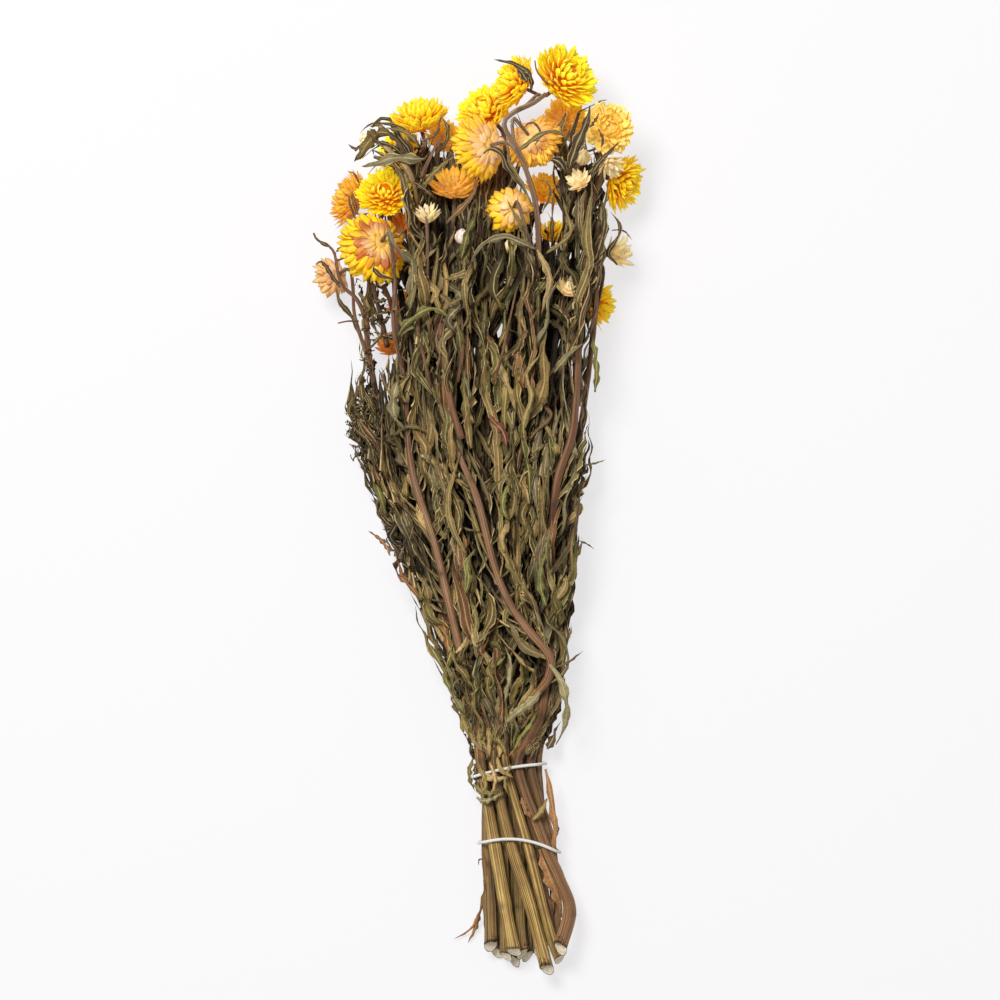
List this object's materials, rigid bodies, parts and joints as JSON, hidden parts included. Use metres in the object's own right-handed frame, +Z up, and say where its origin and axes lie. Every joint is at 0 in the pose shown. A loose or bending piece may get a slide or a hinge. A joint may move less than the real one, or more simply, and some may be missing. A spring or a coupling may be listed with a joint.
{
  "type": "dried strawflower bunch",
  "caption": "Bunch of dried strawflowers: leafy stems bound by two thin elastic ties, with papery yellow and orange heads spread at the top, lying flat.",
  "frame": {"origin": "middle of the lying bunch on the surface that it rests on", "axes": "+Y along the bunch, from the cut ends towards the flower heads; +Z up from the surface; +X across the bunch"},
  "size_m": [0.1762, 0.4983, 0.0782],
  "materials": {
    "stems_leaves": "dried, dull olive leaves with pale ribs on ridged brown stems",
    "petals_yellow": "dry papery bracts with a faint silky sheen, lemon to golden yellow",
    "petals_orange": "dry papery bracts, orange to red-brown at the tips",
    "petals_cream": "dry papery bracts, cream with a tan tinge",
    "tie_elastic": "off-white matt elastic cord"
  },
  "bodies": {
    "root": {"stem_01": "stems_leaves", "stem_02": "stems_leaves", "stem_03": "stems_leaves", "stem_04": "stems_leaves", "stem_05": "stems_leaves", "stem_06": "stems_leaves", "stem_07": "stems_leaves", "stem_08": "stems_leaves", "stem_09": "stems_leaves", "stem_10": "stems_leaves", "stem_11": "stems_leaves", "stem_12": "stems_leaves", "stem_13": "stems_leaves", "bloom_01": "petals_yellow", "bloom_02": "petals_yellow", "bloom_03": "petals_yellow", "bloom_04": "petals_orange", "bloom_05": "petals_orange", "bloom_06": "petals_yellow", "bloom_07": "petals_orange", "bloom_08": "petals_yellow", "bloom_09": "petals_yellow", "bloom_10": "petals_yellow", "bloom_11": "petals_orange", "bloom_12": "petals_orange", "bloom_13": "petals_yellow", "bloom_14": "petals_yellow", "bloom_15": "petals_orange", "bloom_16": "petals_orange", "bloom_17": "petals_orange", "bloom_18": "petals_orange", "bloom_19": "petals_orange", "bloom_20": "petals_yellow", "bloom_21": "petals_yellow", "bloom_22": "petals_yellow", "bloom_23": "petals_orange", "bloom_24": "petals_cream", "bud_01": "petals_cream", "bud_02": "petals_cream", "bud_03": "petals_cream", "bud_04": "petals_cream", "bud_05": "petals_cream", "bud_06": "petals_cream", "bud_07": "petals_cream", "bud_08": "petals_cream", "tie_upper": "tie_elastic", "tie_lower": "tie_elastic"}
  },
  "joints": []
}
